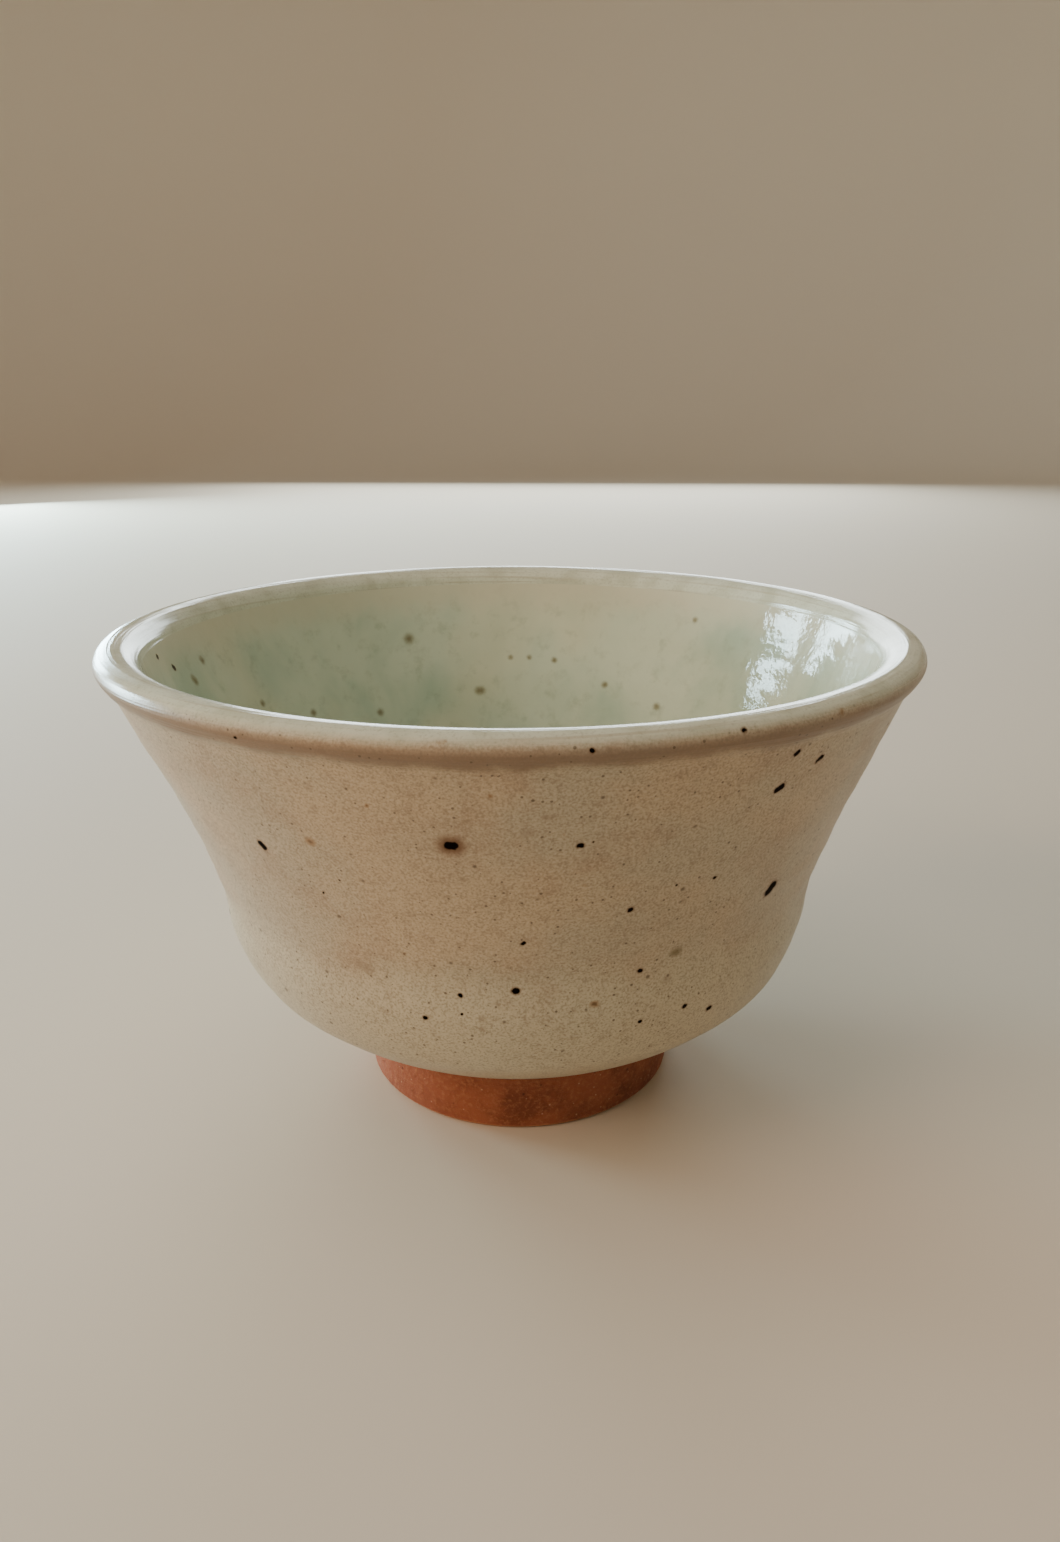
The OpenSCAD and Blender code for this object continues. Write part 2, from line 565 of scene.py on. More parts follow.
INNER_SPECKS = (
    Speck(113.6, 63.2, 1.9, OLIVE),
    Speck(90.4, 58.8, 1.0, OLIVE),
    Speck(86.0, 58.8, 1.0, OLIVE),
    Speck(80.1, 58.3, 1.1, OLIVE),
    Speck(67.3, 54.2, 1.2, OLIVE),
    Speck(48.8, 68.3, 1.1, OLIVE),
    Speck(124.0, 50.4, 1.4, OLIVE),
    Speck(142.1, 52.9, 1.3, OLIVE),
    Speck(155.8, 57.4, 1.2, OLIVE),
    Speck(53.3, 51.5, 1.4, OLIVE),
    Speck(178.8, 68.6, 0.8, IRON, 1.5, 60),
    Speck(173.5, 65.3, 1.4, OLIVE, 1.5, 60),
    Speck(167.8, 67.5, 1.2, OLIVE, 1.3, 70),
    Speck(98.0, 52.5, 1.6, OLIVE, 1.3),
    Speck(-176.4, 71.4, 0.8, IRON),
)


def scattered(
    seed: int,
    count: int,
    azimuths: tuple[float, float],
    heights: tuple[float, float],
) -> tuple[Speck, ...]:
    """Scatters grains over a stretch of wall, the same ones each time.

    Args:
        seed: The start of the random row.
        count: How many grains.
        azimuths: First and last azimuth, in degrees.
        heights: Lowest and highest place, in millimetres.

    Returns:
        The grains, of mixed kinds.
    """
    row = np.random.default_rng(seed)
    kinds = (IRON, IRON, IRON, BLOOM, OLIVE, FAINT)
    return tuple(
        Speck(
            float(row.uniform(*azimuths)),
            float(row.uniform(*heights)),
            float(row.uniform(0.35, 1.0)),
            kinds[int(row.integers(len(kinds)))],
            float(row.uniform(1.0, 1.7)),
            float(row.uniform(-60, 60)),
        )
        for _ in range(count)
    )


@dataclass(frozen=True)
class Wall:
    """One glazed side of the wall, on which specks are placed.

    Its radius at a height is read from the points of the seam within reach, in metres. A grain whose length
    is over the limit is drawn as a row of dots.
    """

    seam: np.ndarray
    outside: bool
    hand: Hand
    reach: float = 0.8 * MM
    long_limit: float = 1.15

    @classmethod
    def of(cls, nodes: tuple[str, ...], outside: bool, hand: Hand) -> "Wall":
        """Reads a side of the wall from the seams of the CAD nodes that cover it."""
        places = np.concatenate([corners(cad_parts[node].data) for node in nodes])
        return cls(places[(np.abs(places[:, 1]) < ON_SEAM) & (places[:, 0] > 0)], outside, hand)

    def radius_at(self, height: float) -> float:
        """Gives the radius of this side of the CAD wall at a height, both in metres."""
        near = self.seam[np.abs(self.seam[:, 2] - height) < self.reach]
        return float(near[:, 0].max() if self.outside else near[:, 0].min())

    def place(self, speck: Speck) -> list[Vector]:
        """Finds the dots that make up a speck, on the thrown surface.

        Args:
            speck: The grain.

        Returns:
            Its dots in millimetres: one, or three in a row for a long grain.
        """
        height = speck.height * MM
        radius = self.radius_at(height)
        drift = float(self.hand.drift(np.array(height)))
        azimuth = math.radians(speck.azimuth)
        azimuth = math.atan2(radius * math.sin(azimuth), radius * math.cos(azimuth) - drift)
        reach = 0.5 * (speck.length - 1) * speck.size * MM
        slant = math.radians(speck.slant)
        steps = (-1, 0, 1) if speck.length > self.long_limit else (0,)
        dots = []
        for step in steps:
            turned = azimuth + step * reach * math.cos(slant) / radius
            raised = height + step * reach * math.sin(slant)
            point = [[radius * math.cos(turned), radius * math.sin(turned), raised]]
            dots.append(Vector(self.hand.shift(np.array(point))[0]) / MM)
        return dots


def speck_field(
    tree: bpy.types.NodeTree,
    spot: bpy.types.Node,
    wall: Wall,
    specks: tuple[Speck, ...],
    kind: SpeckKind,
) -> object:
    """Measures how near the surface is to the specks of one kind.

    Args:
        tree: The material's node tree.
        spot: The place on the surface, in millimetres, already made ragged.
        wall: The side that the specks lie on.
        specks: All specks of that side.
        kind: The kind to measure.

    Returns:
        A node whose value is 1 at a speck's edge and less inside it, or a large number without specks.
    """
    nearest: object = 99.0
    for speck in specks:
        if speck.kind is not kind:
            continue
        for dot in wall.place(speck):
            gap = put(tree, VECTOR, {"operation": "DISTANCE"}, {0: spot, 1: dot})
            share = put(tree, MATH, TIMES, {0: gap.outputs["Value"], 1: 2 / speck.size})
            nearest = put(tree, MATH, LOWER, {0: share, 1: nearest})
    return nearest


# ---------------------------------------------------------------- finishes


@dataclass
class Ground:
    """The surface of a finish in the making, on which colours are laid over each other.

    Its place and height are nodes that give them in millimetres.
    """

    material: bpy.types.Material
    tree: bpy.types.NodeTree
    shader: bpy.types.Node
    place: bpy.types.Node
    height: bpy.types.NodeSocket
    colour: object

    def lay(self, colour: str, measure: object, none: float, full: float, most: float = 1.0) -> None:
        """Lays a colour over the colour so far.

        Args:
            colour: The new colour in sRGB hex.
            measure: The value that says where it lies.
            none: The measure at which it is absent.
            full: The measure at which it covers most.
            most: The largest share that it covers.
        """
        reach = {"Value": measure, "From Min": none, "From Max": full, "To Max": most}
        share = put(self.tree, RANGE, FADE, reach)
        layers = {"Factor": share, "A": self.colour, "B": linear(colour)}
        self.colour = put(self.tree, MIX, {"data_type": "RGBA"}, layers)

    def ragged_height(self, noise: bpy.types.Node, reach: float) -> bpy.types.Node:
        """Gives the height on the bowl, raised by a noise of the given reach in millimetres."""
        return put(self.tree, MATH, TIMES_PLUS, {0: noise.outputs["Fac"], 1: reach, 2: self.height})

    def strew_dust(self, apart: float, share: float) -> None:
        """Strews fine iron dust over the colour so far.

        Args:
            apart: The usual distance between two dots, in millimetres.
            share: The largest dot's radius as a share of that distance.
        """
        cells = put(self.tree, CELLS, {}, {"Vector": self.place, "Scale": 1 / apart})
        chance = put(self.tree, "ShaderNodeSeparateColor", {}, {"Color": cells.outputs["Color"]})
        reach = put(self.tree, MATH, TIMES, {0: chance.outputs["Red"], 1: share})
        dot = put(self.tree, MATH, MINUS, {0: reach, 1: cells.outputs["Distance"]})
        self.lay("#54412F", dot, -0.03, 0.05, 0.75)

    def lay_grains(self, wall: Wall, specks: tuple[Speck, ...]) -> bpy.types.Node:
        """Lays the placed iron grains over the colour so far.

        Their outlines are made ragged by 0.35 mm, in waves of 0.55 mm. The black ones are crusts of iron
        oxide, which mirror less than the glaze does.

        Args:
            wall: The side that the grains lie on.
            specks: The grains.

        Returns:
            A mask of the black grains and the pits that they leave.
        """
        tree, rag = self.tree, 0.35
        wobble = put(tree, NOISE, {}, {"Vector": self.place, "Scale": 1 / 0.55, "Detail": 1.0})
        pushed = put(tree, VECTOR, TIMES_PLUS, {0: wobble.outputs["Color"], 1: (rag,) * 3, 2: self.place})
        spot = put(tree, VECTOR, MINUS, {0: pushed, 1: (rag / 2,) * 3})
        near = {kind: speck_field(tree, spot, wall, specks, kind) for kind in SpeckKind}
        self.lay("#86705A", near[FAINT], 1.8, 0.1, 0.45)
        self.lay("#695A2E", near[OLIVE], 1.8, 0.1, 0.8)
        self.lay("#8A6230", near[BLOOM], 1.5, 0.3, 0.75)
        self.lay("#4A2D16", near[BLOOM], 0.7, 0.0, 0.7)
        self.lay("#6B431D", near[BURST], 1.9, 0.5, 0.9)
        self.lay("#6E4A2A", near[IRON], 1.75, 0.95, 0.75)
        black = put(tree, MATH, TIMES, {0: near[BURST], 1: 1.9})
        black = put(tree, MATH, LOWER, {0: black, 1: near[IRON]})
        core = put(tree, RANGE, FADE, {"Value": black, "From Min": 1.25, "From Max": 0.75})
        self.lay("#170B04", core, 0.0, 1.0)
        tree.links.new(core.outputs["Result"], self.shader.inputs["Metallic"])
        return core

    def vary_sheen(self, measure: object, least: float, most: float, matt: bpy.types.Node) -> None:
        """Lets the roughness drift over the glaze, and rise where the iron grains are matt.

        Args:
            measure: The value that it drifts with, from 0 to 1.
            least: The roughness where the measure is 0.
            most: The roughness where the measure is 1.
            matt: The mask of the black grains.
        """
        drift = put(self.tree, RANGE, {}, {"Value": measure, "To Min": least, "To Max": most})
        rough = put(self.tree, MATH, TIMES_PLUS, {0: matt, 1: 0.5, 2: drift})
        self.tree.links.new(rough.outputs["Value"], self.shader.inputs["Roughness"])

    def finish(self, relief: object, strength: float) -> bpy.types.Material:
        """Joins the colour and a fine relief to the shader.

        Args:
            relief: The height of the surface, in millimetres.
            strength: How strongly the relief shows.

        Returns:
            The finished material.
        """
        result = next(socket for socket in self.colour.outputs if socket.enabled)
        self.tree.links.new(result, self.shader.inputs["Base Color"])
        shape = {"Strength": strength, "Distance": MM, "Height": relief}
        bump = put(self.tree, "ShaderNodeBump", {}, shape)
        self.tree.links.new(bump.outputs["Normal"], self.shader.inputs["Normal"])
        return self.material


@dataclass(frozen=True)
class Finish:
    """What every finish of the bowl shares: its name, its sheen, and the start of its node tree."""

    name: str
    roughness: float
    ior: float

    def start(self, colour: str) -> Ground:
        """Begins a material from its main colour.

        Args:
            colour: The colour that the others are laid over, in sRGB hex.

        Returns:
            The surface in the making.
        """
        material = bpy.data.materials.new(self.name)
        material.use_nodes = True
        tree = material.node_tree
        shader = tree.nodes["Principled BSDF"]
        shader.inputs["Roughness"].default_value = self.roughness
        shader.inputs["IOR"].default_value = self.ior
        whole = put(tree, "ShaderNodeTexCoord")
        in_mm = {0: whole.outputs["Object"], "Scale": 1 / MM}
        place = put(tree, VECTOR, {"operation": "SCALE"}, in_mm)
        height = put(tree, "ShaderNodeSeparateXYZ", {}, {"Vector": place}).outputs["Z"]
        return Ground(material, tree, shader, place, height, linear(colour))


@dataclass(frozen=True)
class CreamColours:
    """The colours of the cream glaze, from the foot up to the bead. Sizes and heights are in millimetres.

    The glaze drifts between beige and grey-cream in clouds, and shows the warm clay in patches. It is
    paler and creamier on the belly, below the waist. Under the bead a darker brown band is painted, partly
    where the glaze breaks thin and partly painted shade under the bead. A fine grain and dust show the iron
    in it.
    """

    beige: str = "#BCA88D"
    grey_cream: str = "#B3A791"
    warm: str = "#A68D75"
    belly_cream: str = "#C2B9A0"
    smudged: str = "#8C7660"
    pale_grain: str = "#D9CDB8"
    dark_grain: str = "#7F6E59"
    # The brown under the bead is partly the glaze breaking thin and partly painted shade
    hollow_brown_and_shade: str = "#765C47"
    cloud_size: float = 22.0
    patch_size: float = 9.0
    smudge_size: float = 1.8
    grain_size: float = 0.32
    belly_cream_height: tuple[float, float] = (46.0, 38.0)
    shade_band_start: tuple[float, float] = (72.4, 74.4)
    shade_band_end: tuple[float, float] = (75.4, 73.4)

    def paint(self, ground: Ground) -> bpy.types.Node:
        """Paints a ground that starts from the beige.

        Args:
            ground: The surface in the making.

        Returns:
            The noise of the patches.
        """
        tree, place = ground.tree, ground.place
        clouds = {"Vector": place, "Scale": 1 / self.cloud_size, "Detail": 3.0, "Roughness": 0.55}
        cloud = put(tree, NOISE, {}, clouds)
        ground.lay(self.grey_cream, cloud.outputs["Fac"], 0.38, 0.62)
        patches = {"Vector": place, "Scale": 1 / self.patch_size, "Detail": 4.0, "Roughness": 0.6}
        patch = put(tree, NOISE, {}, patches)
        ground.lay(self.warm, patch.outputs["Fac"], 0.46, 0.72, 0.6)
        # Paler cream on the belly, below the waist
        ground.lay(self.belly_cream, ground.ragged_height(patch, 7.0), *self.belly_cream_height, 0.75)

        smudges = {"Vector": place, "Scale": 1 / self.smudge_size, "Detail": 5.0, "Roughness": 0.7}
        smudge = put(tree, NOISE, {}, smudges)
        ground.lay(self.smudged, smudge.outputs["Fac"], 0.50, 0.74, 0.5)
        grain = put(tree, NOISE, {}, {"Vector": place, "Scale": 1 / self.grain_size, "Detail": 1.0})
        ground.lay(self.pale_grain, grain.outputs["Fac"], 0.46, 0.30, 0.25)

        # Painted shade: a brown band under the bead, partly glaze breaking thin and partly the shade of the
        # bead's underside
        low, high = self.shade_band_start
        shade_band_height = ground.ragged_height(patch, 3.0)
        below = put(tree, RANGE, FADE, {"Value": shade_band_height, "From Min": low, "From Max": high})
        low, high = self.shade_band_end
        edge = {"Value": ground.height, "From Min": low, "From Max": high, "To Max": 0.7}
        above = put(tree, RANGE, FADE, edge)
        shade_band = put(tree, MATH, TIMES, {0: below, 1: above})
        ground.lay(self.hollow_brown_and_shade, shade_band, 0.0, 1.0)
        ground.lay(self.dark_grain, grain.outputs["Fac"], 0.46, 0.70, 0.5)
        ground.strew_dust(1.1, 0.19)
        ground.strew_dust(3.6, 0.11)
        return patch


@dataclass(frozen=True)
class CreamGlaze(Finish):
    """Satin cream glaze over red stoneware, dipped and fired in reduction.

    It is thin enough for the clay to warm it. Iron in the clay boils up as grains with brown edges, and the
    soft gloss has the faint pitting of a stiff glaze, in waves of 1.1 mm.
    """

    wall: Wall
    specks: tuple[Speck, ...]
    colours: CreamColours = CreamColours()

    def make(self) -> bpy.types.Material:
        """Makes the material.

        Returns:
            The finished material.
        """
        ground = self.start(self.colours.beige)
        tree = ground.tree
        patch = self.colours.paint(ground)
        pit = ground.lay_grains(self.wall, self.specks)
        ground.vary_sheen(patch.outputs["Fac"], self.roughness - 0.06, self.roughness + 0.10, pit)
        skin = put(tree, NOISE, {}, {"Vector": ground.place, "Scale": 1 / 1.1, "Detail": 4.0})
        relief = put(tree, MATH, TIMES, {0: skin.outputs["Fac"], 1: 0.10})
        relief = put(tree, MATH, TIMES_PLUS, {0: pit, 1: -0.05, 2: relief})
        return ground.finish(relief, 0.45)


@dataclass(frozen=True)
class CeladonGlaze(Finish):
    """Glossy pale celadon poured inside. Sizes and heights are in millimetres.

    It pools in watery green patches that run down the wall and in the well, and turns cream where it is
    thin, most of all towards the mouth. A wet gloss over a faint ripple mirrors the lights.
    """

    wall: Wall
    specks: tuple[Speck, ...]
    watery: str = "#C5CFB8"
    pooled: str = "#A6BAA5"
    creamy: str = "#CECDB1"
    smudged: str = "#8E9982"
    mouth_cream: str = "#CFCBB2"
    well_green: str = "#A0B7A1"
    pool_size: float = 13.0
    thin_size: float = 24.0
    smudge_size: float = 3.5
    edge_size: float = 4.0
    ripple_size: float = 2.6
    run: float = 0.6
    mouth_height: tuple[float, float] = (68.0, 74.5)
    well_height: tuple[float, float] = (30.0, 17.0)

    def make(self) -> bpy.types.Material:
        """Makes the material.

        Returns:
            The finished material.
        """
        ground = self.start(self.watery)
        tree, place = ground.tree, ground.place
        drawn = put(tree, VECTOR, TIMES, {0: place, 1: (1.0, 1.0, self.run)})
        pools = {"Vector": drawn, "Scale": 1 / self.pool_size, "Detail": 3.0, "Distortion": 0.4}
        pool = put(tree, NOISE, {}, pools)
        ground.lay(self.pooled, pool.outputs["Fac"], 0.38, 0.72, 0.85)
        thin = put(tree, NOISE, {}, {"Vector": drawn, "Scale": 1 / self.thin_size, "Detail": 2.0})
        ground.lay(self.creamy, thin.outputs["Fac"], 0.48, 0.68, 0.6)
        smudges = {"Vector": place, "Scale": 1 / self.smudge_size, "Detail": 4.0, "Roughness": 0.65}
        smudge = put(tree, NOISE, {}, smudges)
        ground.lay(self.smudged, smudge.outputs["Fac"], 0.50, 0.76, 0.38)
        edge = put(tree, NOISE, {}, {"Vector": place, "Scale": 1 / self.edge_size, "Detail": 3.0})
        ground.lay(self.mouth_cream, ground.ragged_height(edge, 4.0), *self.mouth_height, 0.75)
        ground.lay(self.well_green, ground.height, *self.well_height, 0.6)
        pit = ground.lay_grains(self.wall, self.specks)

        ripple = put(tree, NOISE, {}, {"Vector": place, "Scale": 1 / self.ripple_size, "Detail": 3.0})
        relief = put(tree, MATH, TIMES, {0: ripple.outputs["Fac"], 1: 0.22})
        relief = put(tree, MATH, TIMES_PLUS, {0: pit, 1: -0.03, 2: relief})
        return ground.finish(relief, 0.5)


@dataclass(frozen=True)
class LipGlaze(Finish):
    """Glossy pale green-grey glaze round the lip, where both coats overlap. Sizes are in millimetres.

    It covers the crown of the lip and all inside it, and gives way to the satin cream glaze below. Fine
    rings from the wet sponge that levelled the lip still show in its colour and its shine.
    """

    wall: Wall
    specks: tuple[Speck, ...]
    colours: CreamColours = CreamColours()
    pale: str = "#D2D6C1"
    clouded: str = "#C1C4AD"
    grain: str = "#96937D"
    ring: str = "#A99D82"
    cloud_size: float = 5.0
    grain_size: float = 0.4
    ring_pitch: float = 0.75
    ring_height: float = 0.28
    satin: float = 0.20
    crown_height: tuple[float, float] = (74.6, 76.2)
    crown_radius: tuple[float, float] = (60.2, 59.4)
    inner_height: tuple[float, float] = (72.0, 72.6)

    def make(self) -> bpy.types.Material:
        """Makes the material.

        Returns:
            The finished material.
        """
        ground = self.start(self.colours.beige)
        tree, place = ground.tree, ground.place
        # The cream glaze's colours below the crown, with the painted shade band under the bead
        self.colours.paint(ground)
        cream = ground.colour

        ground.colour = linear(self.pale)
        cloud = put(tree, NOISE, {}, {"Vector": place, "Scale": 1 / self.cloud_size, "Detail": 4.0})
        ground.lay(self.clouded, cloud.outputs["Fac"], 0.40, 0.68)
        grain = put(tree, NOISE, {}, {"Vector": place, "Scale": 1 / self.grain_size, "Detail": 2.0})
        ground.lay(self.grain, grain.outputs["Fac"], 0.50, 0.74, 0.35)
        apart = put(tree, "ShaderNodeSeparateXYZ", {}, {"Vector": place})
        flat = {"X": apart.outputs["X"], "Y": apart.outputs["Y"]}
        level = put(tree, "ShaderNodeCombineXYZ", {}, flat)
        radius = put(tree, VECTOR, {"operation": "LENGTH"}, {0: level}).outputs["Value"]
        section = put(tree, "ShaderNodeCombineXYZ", {}, {"X": radius, "Y": ground.height})
        along = put(tree, VECTOR, TIMES_PLUS, {0: place, 1: (0.03, 0.03, 0.0), 2: section})
        rings = put(tree, NOISE, {}, {"Vector": along, "Scale": 1 / self.ring_pitch, "Detail": 2.0})
        ground.lay(self.ring, rings.outputs["Fac"], 0.52, 0.70, 0.45)

        raised = ground.ragged_height(cloud, 0.9)
        edges = (
            (raised, self.crown_height),
            (radius, self.crown_radius),
            (ground.height, self.inner_height),
        )
        crown, within, high = (
            put(tree, RANGE, FADE, {"Value": value, "From Min": none, "From Max": full})
            for value, (none, full) in edges
        )
        inside = put(tree, MATH, TIMES, {0: within, 1: high})
        over = put(tree, MATH, HIGHER, {0: crown, 1: inside})
        layers = {"Factor": over, "A": cream, "B": ground.colour}
        ground.colour = put(tree, MIX, {"data_type": "RGBA"}, layers)
        pit = ground.lay_grains(self.wall, self.specks)
        ground.vary_sheen(over, self.roughness + self.satin, self.roughness, pit)
        relief = put(tree, MATH, TIMES, {0: rings.outputs["Fac"], 1: self.ring_height})
        relief = put(tree, MATH, TIMES_PLUS, {0: grain.outputs["Fac"], 1: 0.03, 2: relief})
        relief = put(tree, MATH, TIMES_PLUS, {0: pit, 1: -0.04, 2: relief})
        return ground.finish(relief, 0.5)


@dataclass(frozen=True)
class BareClay(Finish):
    """Bare red stoneware, turned leather-hard and left unglazed. Sizes are in millimetres.

    The fire leaves it dry and sandy, toasted darker in patches, with pale grains of grog, dark grains of
    iron and the fine level lines of the turning tool. Where it stands it is worn paler, up to the height
    where the wear ends.
    """

    red: str = "#955439"
    toasted: str = "#6B3723"
    pale: str = "#AE7551"
    worn: str = "#C68B63"
    grog: str = "#E2BC99"
    iron: str = "#4A271A"
    worn_height: float = 0.0
    toast_size: float = 8.0
    sand_size: float = 0.7
    grog_apart: float = 1.6
    iron_apart: float = 2.9

    def make(self) -> bpy.types.Material:
        """Makes the material.

        Returns:
            The finished material.
        """
        ground = self.start(self.red)
        tree, place = ground.tree, ground.place
        patches = {"Vector": place, "Scale": 1 / self.toast_size, "Detail": 4.0, "Roughness": 0.6}
        patch = put(tree, NOISE, {}, patches)
        ground.lay(self.toasted, patch.outputs["Fac"], 0.42, 0.68, 0.8)
        grains = {"Vector": place, "Scale": 1 / self.sand_size, "Detail": 4.0, "Roughness": 0.7}
        sand = put(tree, NOISE, {}, grains)
        ground.lay(self.pale, sand.outputs["Fac"], 0.46, 0.72, 0.6)
        grog = put(tree, CELLS, {}, {"Vector": place, "Scale": 1 / self.grog_apart})
        ground.lay(self.grog, grog.outputs["Distance"], 0.12, 0.05, 0.4)
        iron = put(tree, CELLS, {}, {"Vector": place, "Scale": 1 / self.iron_apart})
        ground.lay(self.iron, iron.outputs["Distance"], 0.10, 0.05, 0.8)
        if self.worn_height:
            ground.lay(self.worn, ground.height, 1.3 * self.worn_height, 0.6 * self.worn_height, 0.75)

        lines = put(tree, VECTOR, TIMES, {0: place, 1: (0.05, 0.05, 1.6)})
        turning = put(tree, NOISE, {}, {"Vector": lines, "Scale": 1.0, "Detail": 2.0})
        relief = put(tree, MATH, TIMES, {0: sand.outputs["Fac"], 1: 0.30})
        relief = put(tree, MATH, TIMES_PLUS, {0: turning.outputs["Fac"], 1: 0.15, 2: relief})
        return ground.finish(relief, 0.8)


# ---------------------------------------------------------------- stage


@dataclass(frozen=True)
class Softbox:
    """A soft rectangular light that faces the bowl. Lengths are in metres, and its power is in watts."""

    name: str
    place: tuple[float, float, float]
    size: tuple[float, float]
    power: float
    colour: str
    mirrored: bool
    target: tuple[float, float, float] = (0.0, 0.0, 0.04)

    def hang(self) -> None:
        """Hangs the light. The glaze mirrors it only where it stands for a window."""
        lamp = bpy.data.lights.new(self.name, "AREA")
        lamp.shape = "RECTANGLE"
        lamp.size, lamp.size_y = self.size
        lamp.energy = self.power
        lamp.color = linear(self.colour)[:3]
        holder = bpy.data.objects.new(self.name, lamp)
        bpy.context.scene.collection.objects.link(holder)
        holder.location = self.place
        holder.visible_camera = False
        holder.visible_glossy = self.mirrored
        aim = Vector(self.target) - Vector(self.place)
        holder.rotation_euler = aim.to_track_quat("-Z", "Y").to_euler()


SOFTBOXES = (
    Softbox("window_left", (-1.02, 0.52, 0.20), (0.34, 0.36), 13.0, "#CFF0FA", True),
    Softbox("window_right", (-0.66, 0.94, 0.17), (0.40, 0.30), 11.0, "#CFF0FA", True),
    Softbox("curtain", (0.06, 1.26, 0.36), (0.80, 0.56), 10.0, "#EAF7FA", True),
    Softbox("left_fill", (-1.05, -0.45, 0.60), (0.70, 0.70), 11.5, "#FFE5CE", False),
    Softbox("overhead", (-0.20, -0.10, 1.30), (0.90, 0.90), 3.6, "#FFF4EA", False),
)


@dataclass(frozen=True)
class Studio:
    """A pale sweep, soft lights and a camera. Lengths are in metres and angles in degrees."""

    floor_radius: float = 1.5
    bend: float = 0.6
    bend_steps: int = 12
    wall_top: float = 2.4
    paper: str = "#D3C6B3"
    air: str = "#EEE7DF"
    air_strength: float = 0.32
    camera_place: tuple[float, float, float] = (0.0, -0.1741, 0.1099)
    camera_down: float = 18.69
    camera_right: float = 0.93
    lens: float = 25.914

    def build(self) -> None:
        """Builds the sweep, the lights, the soft light of the room and the camera."""
        self.lay_sweep()
        for softbox in SOFTBOXES:
            softbox.hang()
        world = bpy.data.worlds.new("soft_room")
        world.use_nodes = True
        background = world.node_tree.nodes["Background"]
        background.inputs["Color"].default_value = linear(self.air)
        background.inputs["Strength"].default_value = self.air_strength
        bpy.context.scene.world = world
        self.set_camera()

    def lay_sweep(self) -> None:
        """Makes a round floor of matt pale paper, whose edge bends up into a wall."""
        bpy.ops.object.select_all(action="DESELECT")
        bpy.ops.mesh.primitive_circle_add(vertices=96, radius=self.floor_radius, fill_type="NGON")
        floor = bpy.context.active_object
        floor.name = "studio_sweep"
        choose_in_edit_mode("EDGE", "SELECT")
        bpy.ops.mesh.region_to_loop()
        radius, height = self.floor_radius, 0.0
        for step in range(1, self.bend_steps + 2):
            angle = 0.5 * math.pi * min(step, self.bend_steps) / self.bend_steps
            new_radius = self.floor_radius + self.bend * math.sin(angle)
            new_height = self.bend * (1 - math.cos(angle)) if step <= self.bend_steps else self.wall_top
            bpy.ops.mesh.extrude_edges_move(TRANSFORM_OT_translate={"value": (0, 0, new_height - height)})
            grow = new_radius / radius
            bpy.ops.transform.resize(value=(grow, grow, 1), center_override=(0, 0, new_height))
            radius, height = new_radius, new_height
        bpy.ops.mesh.select_all(action="SELECT")
        bpy.ops.mesh.normals_make_consistent(inside=True)
        bpy.ops.object.mode_set(mode="OBJECT")
        bpy.ops.object.shade_smooth_by_angle(angle=math.radians(40))
        paper = bpy.data.materials.new("matte_pale_paper")
        paper.use_nodes = True
        shader = paper.node_tree.nodes["Principled BSDF"]
        shader.inputs["Base Color"].default_value = linear(self.paper)
        shader.inputs["Roughness"].default_value = 0.8
        floor.data.materials.append(paper)

    def set_camera(self) -> None:
        """Sets the camera a hand's reach in front of the bowl, looking down on it."""
        data = bpy.data.cameras.new("camera")
        data.sensor_fit = "AUTO"
        data.sensor_width = 36.0
        data.lens = self.lens
        data.clip_start = 0.01
        holder = bpy.data.objects.new("camera", data)
        bpy.context.scene.collection.objects.link(holder)
        holder.location = self.camera_place
        holder.rotation_euler = (math.radians(90 - self.camera_down), 0, math.radians(-self.camera_right))
        bpy.context.scene.camera = holder


# ---------------------------------------------------------------- the bowl


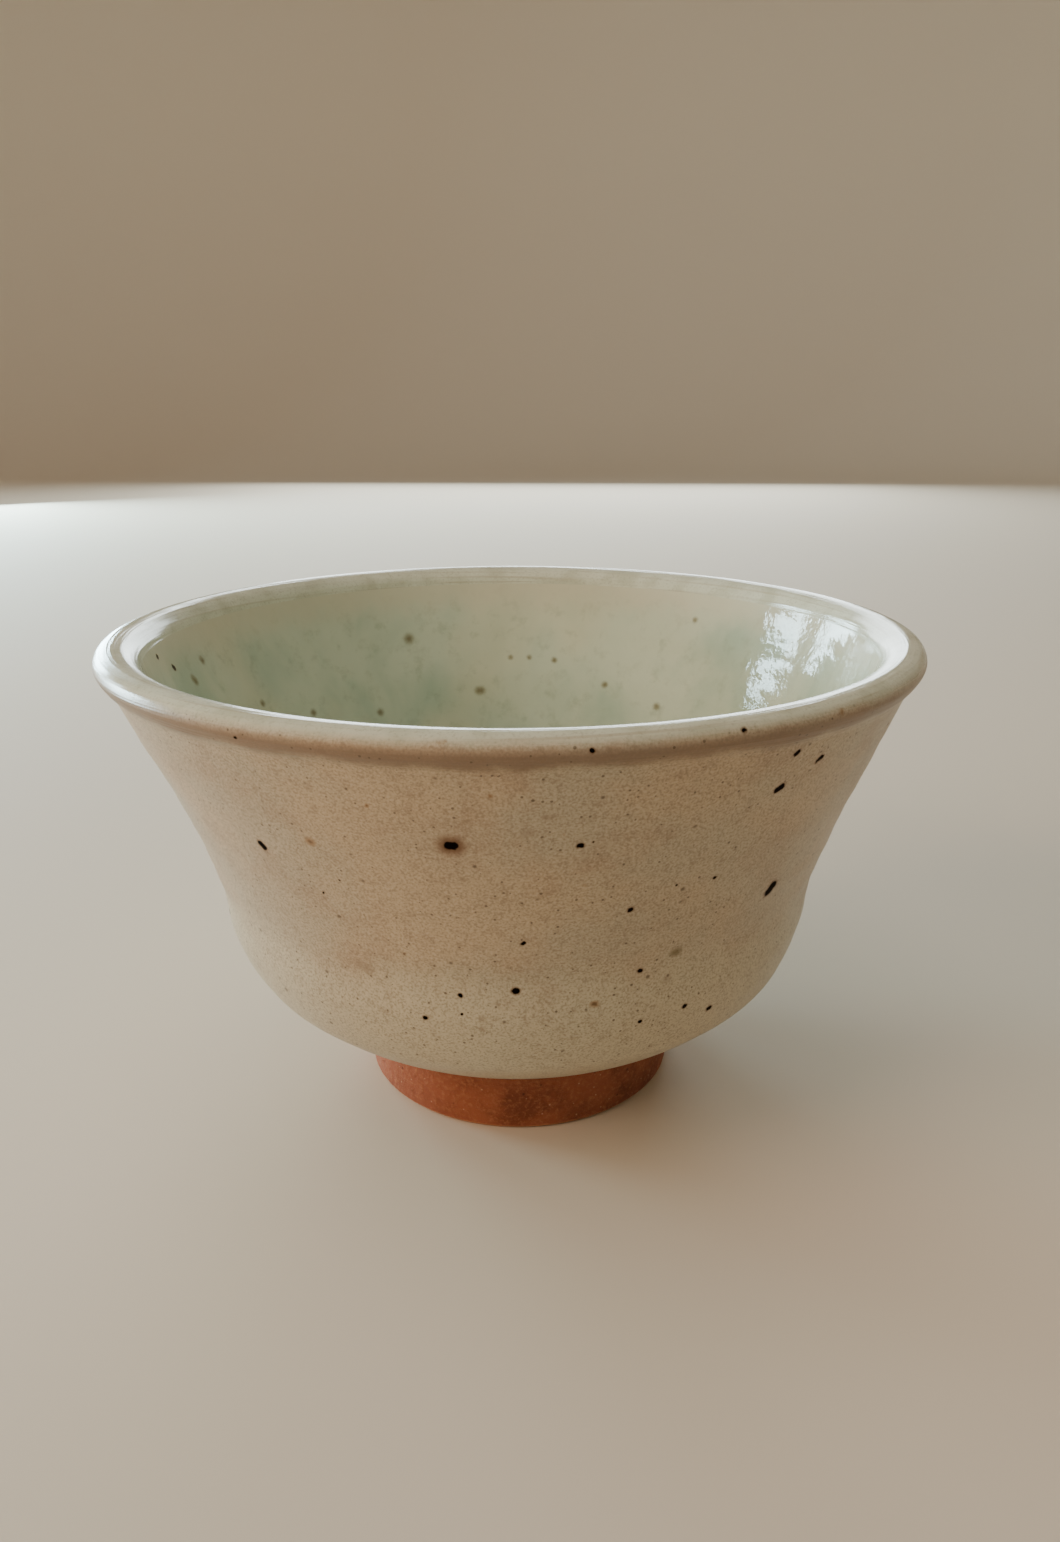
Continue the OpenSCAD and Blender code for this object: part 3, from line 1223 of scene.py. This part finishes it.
@dataclass
class MatchaBowl:
    """The whole bowl: clay, foot, slip and three coats of glaze."""

    hand: Hand
    glaze_steps: int = 480
    clay_steps: int = 288

    def build(self) -> None:
        """Builds every piece in the order in which the potter made it."""
        hand = self.hand
        outer_wall = Wall.of(("outer_glaze", "lip_glaze"), True, hand)
        inner_wall = Wall.of(("inner_glaze",), False, hand)
        outer_specks = OUTER_SPECKS + scattered(7, 52, (-22, 212), (22, 69))
        inner_specks = INNER_SPECKS + scattered(11, 14, (-170, 30), (26, 68))
        lip_specks = LIP_SPECKS + tuple(speck for speck in outer_specks if speck.height > 66)

        # Red stoneware fires dry and matt, and the foot is worn pale where it stands
        red_clay = BareClay("bare_red_stoneware", 0.92, 1.5).make()
        foot_clay = BareClay("bare_red_foot", 0.92, 1.5, worn_height=0.6).make()
        # The slip is the same clay, sieved and wetted, so it fires finer and paler
        slip = BareClay("luting_slip", 0.9, 1.5, "#B67A5B", "#94593F", "#D3A888").make()
        # The outer glaze is a satin one, and the inside and the lip are wet and glossy
        outer = CreamGlaze("satin_cream_glaze", 0.33, 1.5, outer_wall, outer_specks).make()
        inner = CeladonGlaze("glossy_celadon_glaze", 0.10, 1.52, inner_wall, inner_specks).make()
        lip = LipGlaze("glossy_lip_glaze", 0.14, 1.52, outer_wall, lip_specks).make()

        TurnedPiece("clay_body", "clay_body", self.clay_steps, 1.2 * MM).build(hand, red_clay)
        BareRing("foot_ring", "foot_clay", self.glaze_steps, 0.45 * MM).build(hand, foot_clay)
        TurnedPiece("luting_slip", "slip", self.clay_steps, 0.8 * MM).build(hand, slip)
        TurnedPiece("inner_glaze", "inner_glaze", self.glaze_steps, 1.6 * MM).build(hand, inner)
        GlazeCoat("outer_glaze", "outer_glaze", self.glaze_steps, 1.6 * MM).build(hand, outer)
        TurnedPiece("lip_glaze", "lip_glaze", self.glaze_steps, 0.6 * MM).build(hand, lip)


def main() -> None:
    """Builds the stage and the bowl."""
    logging.basicConfig(level=logging.INFO, format="%(name)s: %(message)s")
    Studio().build()
    MatchaBowl(Hand(bowl_height=cad_bounds[1][2])).build()


if __name__ == "__main__":
    main()
